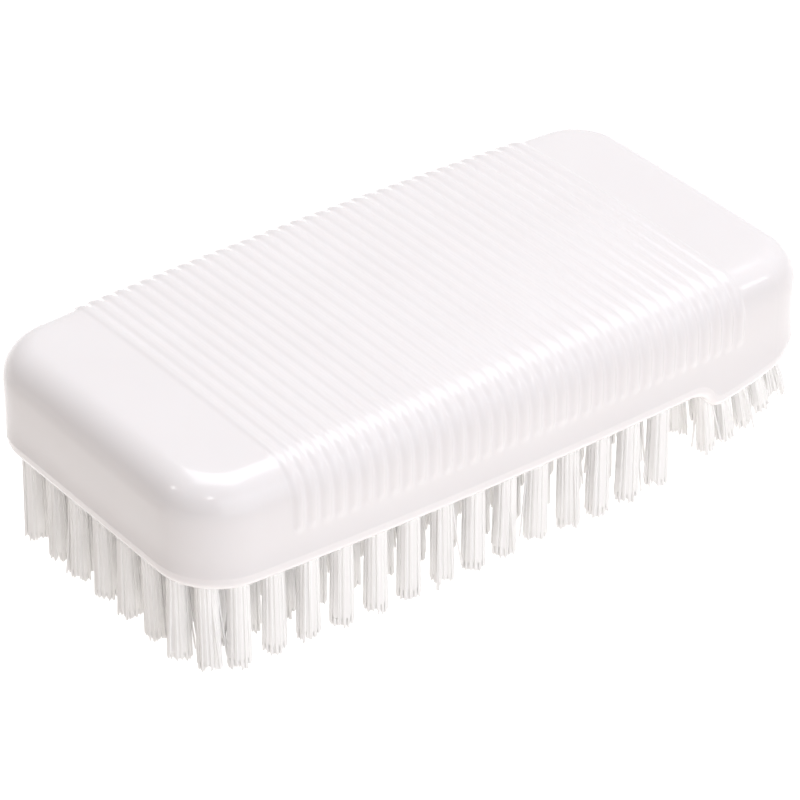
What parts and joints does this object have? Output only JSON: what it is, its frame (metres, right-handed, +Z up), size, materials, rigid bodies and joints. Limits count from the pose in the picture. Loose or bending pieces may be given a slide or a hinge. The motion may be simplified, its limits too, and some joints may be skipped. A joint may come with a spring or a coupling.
{
  "type": "nail brush",
  "caption": "White moulded nail brush with a ribbed grip, a field of nylon tufts and a short tufted nose at one end.",
  "frame": {"origin": "on the plane of the trimmed tuft tips, under the middle of the block", "axes": "+X along the block towards the nose, +Y across it, +Z up from the tips to the ribbed top"},
  "size_m": [0.0978, 0.051, 0.03],
  "materials": {
    "block": "gloss",
    "bristle": "satin",
    "wire": "satin"
  },
  "bodies": {
    "root": {"body": "block", "tuft_row_1": "bristle", "tuft_row_2": "bristle", "tuft_row_3": "bristle", "tuft_row_4": "bristle", "tuft_row_5": "bristle", "tuft_row_6": "bristle", "tuft_row_7": "bristle", "tuft_row_8": "bristle", "nose_row_1": "bristle", "nose_row_2": "bristle", "nose_row_3": "bristle", "nose_row_4": "bristle", "nose_row_5": "bristle", "anchors_row_1": "wire", "anchors_row_2": "wire", "anchors_row_3": "wire", "anchors_row_4": "wire", "anchors_row_5": "wire", "anchors_row_6": "wire", "anchors_row_7": "wire", "anchors_row_8": "wire", "nose_anchors_1": "wire", "nose_anchors_2": "wire", "nose_anchors_3": "wire", "nose_anchors_4": "wire", "nose_anchors_5": "wire"}
  },
  "joints": []
}
